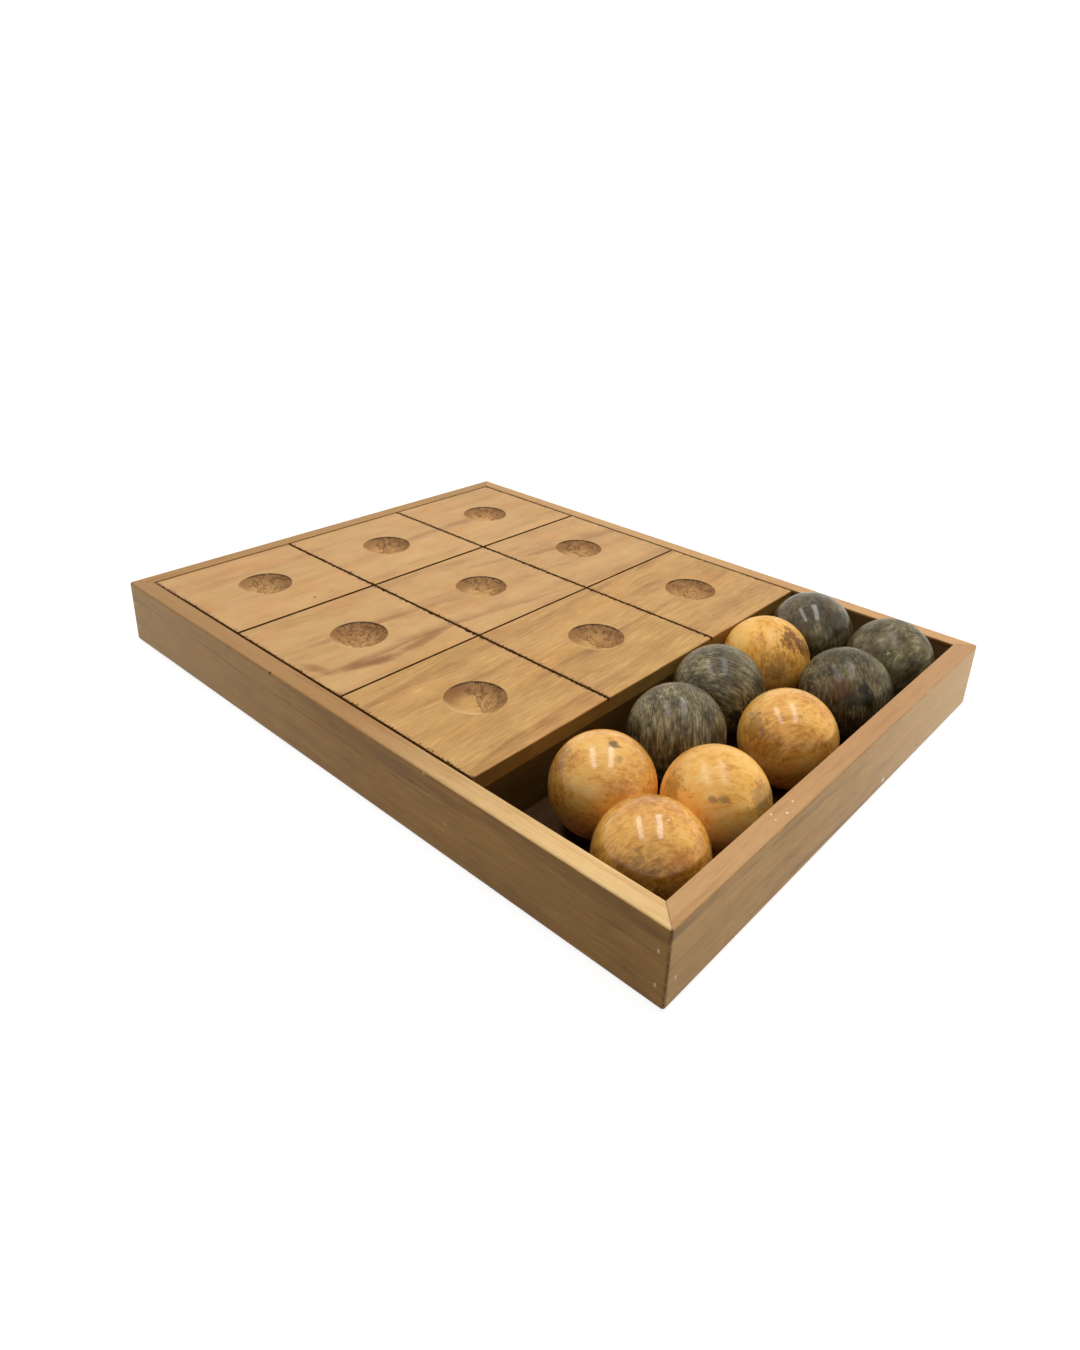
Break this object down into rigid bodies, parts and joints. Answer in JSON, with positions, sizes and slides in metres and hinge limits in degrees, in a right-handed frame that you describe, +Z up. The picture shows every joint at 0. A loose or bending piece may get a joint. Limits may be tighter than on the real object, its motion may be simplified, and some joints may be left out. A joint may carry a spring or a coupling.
{
  "type": "tic-tac-toe game",
  "caption": "Open wooden noughts and crosses box: a sunk field of sawn, dimpled squares beside a tray of loose light and dark balls.",
  "frame": {"origin": "middle of the underside, on the surface that the box stands on", "axes": "+X along the box towards the ball tray, +Y across it, +Z up"},
  "size_m": [0.4, 0.299, 0.0523],
  "materials": {
    "frame_wood": "waxed teak",
    "orange_plank_wood": "waxed teak",
    "brown_plank_wood": "waxed teak",
    "yellow_plank_wood": "waxed teak",
    "base_wood": "plain sanded wood",
    "light_ball_wood": "turned and clear lacquered",
    "dark_ball_wood": "turned, stained grey and clear lacquered",
    "pin_steel": "plain pin nails",
    "filler": "wood filler, sanded flush"
  },
  "bodies": {
    "box": {"near_rail": "frame_wood", "far_rail": "frame_wood", "left_rail": "frame_wood", "right_rail": "frame_wood", "base_board": "base_wood", "left_plank": "orange_plank_wood", "middle_plank": "brown_plank_wood", "right_plank": "yellow_plank_wood", "tray_wall": "frame_wood", "near_bearer": "base_wood", "middle_bearer": "base_wood", "far_bearer": "base_wood", "corner_pins": "pin_steel", "pin_hole_fillers": "filler", "base_pins": "pin_steel"},
    "light_ball_1": {"light_ball_1": "light_ball_wood"},
    "light_ball_2": {"light_ball_2": "light_ball_wood"},
    "light_ball_3": {"light_ball_3": "light_ball_wood"},
    "light_ball_4": {"light_ball_4": "light_ball_wood"},
    "light_ball_5": {"light_ball_5": "light_ball_wood"},
    "dark_ball_1": {"dark_ball_1": "dark_ball_wood"},
    "dark_ball_2": {"dark_ball_2": "dark_ball_wood"},
    "dark_ball_3": {"dark_ball_3": "dark_ball_wood"},
    "dark_ball_4": {"dark_ball_4": "dark_ball_wood"},
    "dark_ball_5": {"dark_ball_5": "dark_ball_wood"}
  },
  "joints": [
    {"name": "light_ball_1_lift", "type": "slide", "parent": "box", "child": "light_ball_1", "axis": [0, 0, 1], "range_m": [0, 0.06]},
    {"name": "light_ball_2_lift", "type": "slide", "parent": "box", "child": "light_ball_2", "axis": [0, 0, 1], "range_m": [0, 0.06]},
    {"name": "light_ball_3_lift", "type": "slide", "parent": "box", "child": "light_ball_3", "axis": [0, 0, 1], "range_m": [0, 0.06]},
    {"name": "light_ball_4_lift", "type": "slide", "parent": "box", "child": "light_ball_4", "axis": [0, 0, 1], "range_m": [0, 0.06]},
    {"name": "light_ball_5_lift", "type": "slide", "parent": "box", "child": "light_ball_5", "axis": [0, 0, 1], "range_m": [0, 0.06]},
    {"name": "dark_ball_1_lift", "type": "slide", "parent": "box", "child": "dark_ball_1", "axis": [0, 0, 1], "range_m": [0, 0.06]},
    {"name": "dark_ball_2_lift", "type": "slide", "parent": "box", "child": "dark_ball_2", "axis": [0, 0, 1], "range_m": [0, 0.06]},
    {"name": "dark_ball_3_lift", "type": "slide", "parent": "box", "child": "dark_ball_3", "axis": [0, 0, 1], "range_m": [0, 0.06]},
    {"name": "dark_ball_4_lift", "type": "slide", "parent": "box", "child": "dark_ball_4", "axis": [0, 0, 1], "range_m": [0, 0.06]},
    {"name": "dark_ball_5_lift", "type": "slide", "parent": "box", "child": "dark_ball_5", "axis": [0, 0, 1], "range_m": [0, 0.06]}
  ]
}
